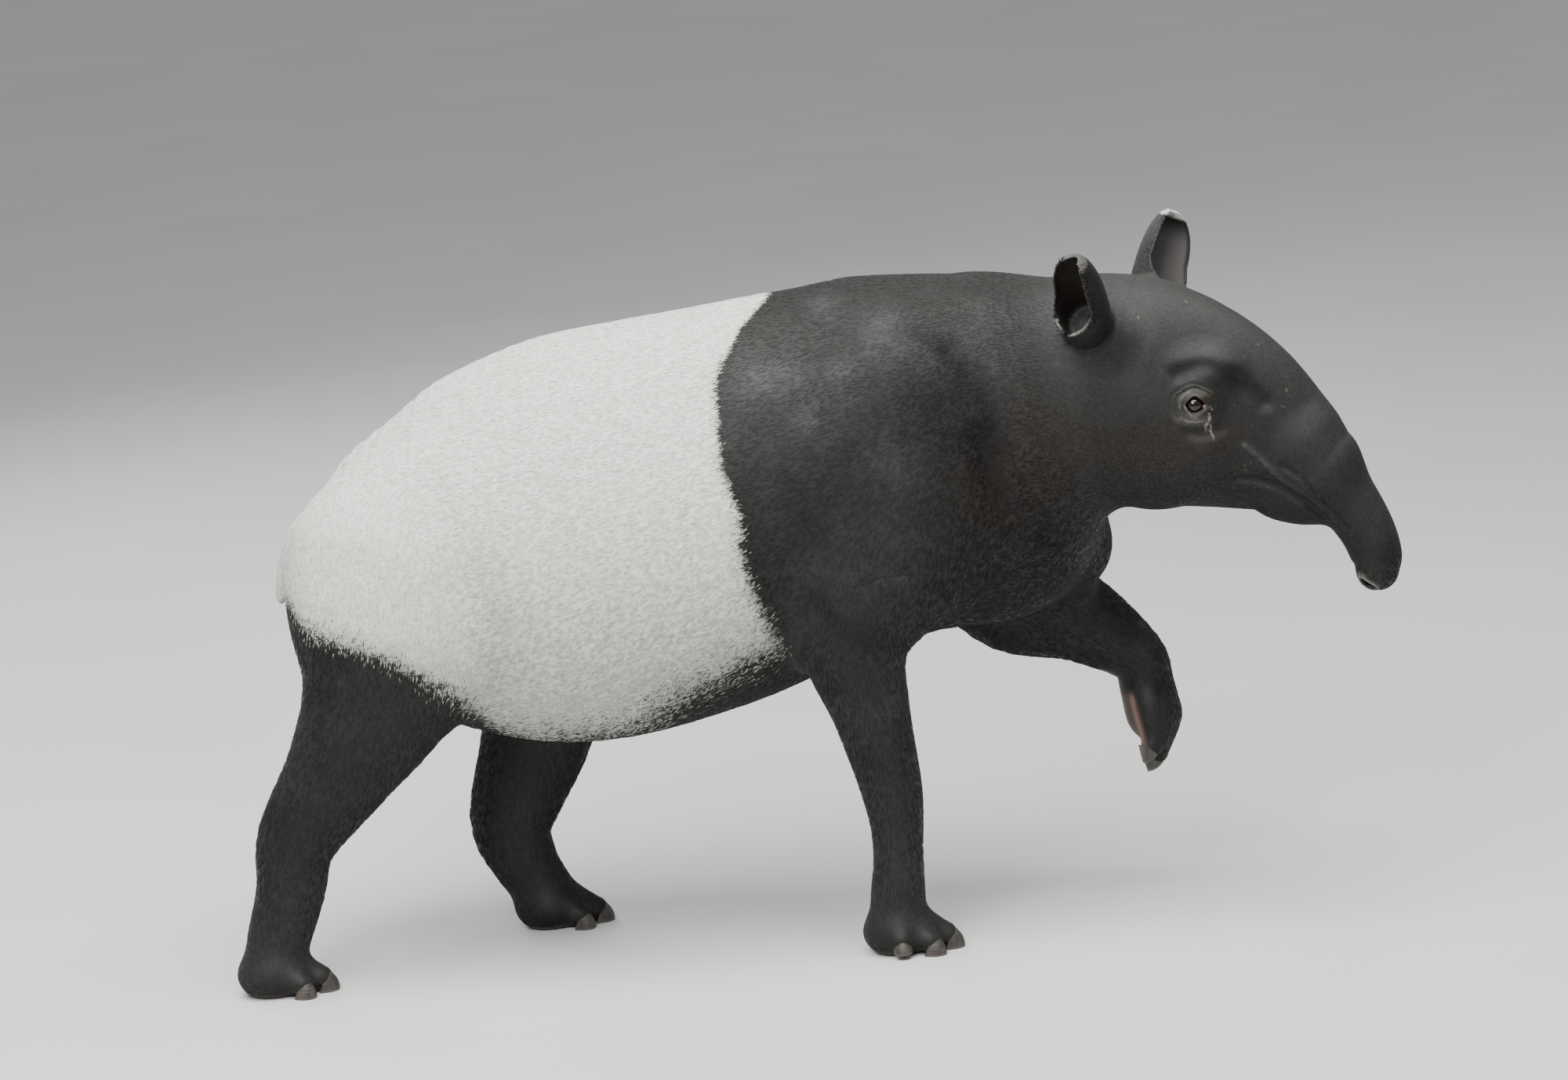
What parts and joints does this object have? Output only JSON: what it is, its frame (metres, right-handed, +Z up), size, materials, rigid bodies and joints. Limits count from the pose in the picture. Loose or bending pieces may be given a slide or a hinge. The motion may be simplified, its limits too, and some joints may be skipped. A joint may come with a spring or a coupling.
{
  "type": "malayan tapir model",
  "caption": "Life-size still model of a Malayan tapir in mid-walk, dark with a pale saddle, one forefoot lifted and the head turned slightly aside.",
  "frame": {"origin": "on the floor under the centre of the bounding box", "axes": "+X the way the animal walks, +Y to its left, +Z up"},
  "size_m": [1.8086, 0.4994, 1.0611],
  "materials": {
    "coat": "short close fur, near black with a brown tint",
    "saddle": "short close fur, greyish white saddle behind the shoulder, near black ahead of and below it",
    "horn": "dull dark horn",
    "eye": "wet dark eye"
  },
  "bodies": {
    "root": {"ear_left": "coat", "ear_right": "coat", "eye_left": "eye", "eye_right": "eye", "fore_foot_left": "coat", "fore_foot_right": "coat", "fore_leg_left": "coat", "fore_leg_right": "coat", "head": "coat", "hind_foot_left": "coat", "hind_foot_right": "coat", "hind_leg_left": "coat", "hind_leg_right": "coat", "hoof_fore_left_inner": "horn", "hoof_fore_left_middle": "horn", "hoof_fore_left_outer": "horn", "hoof_fore_left_side": "horn", "hoof_fore_right_inner": "horn", "hoof_fore_right_middle": "horn", "hoof_fore_right_outer": "horn", "hoof_fore_right_side": "horn", "hoof_hind_left_inner": "horn", "hoof_hind_left_middle": "horn", "hoof_hind_left_outer": "horn", "hoof_hind_right_inner": "horn", "hoof_hind_right_middle": "horn", "hoof_hind_right_outer": "horn", "neck": "coat", "proboscis": "coat", "tail": "coat", "torso": "saddle"}
  },
  "joints": []
}
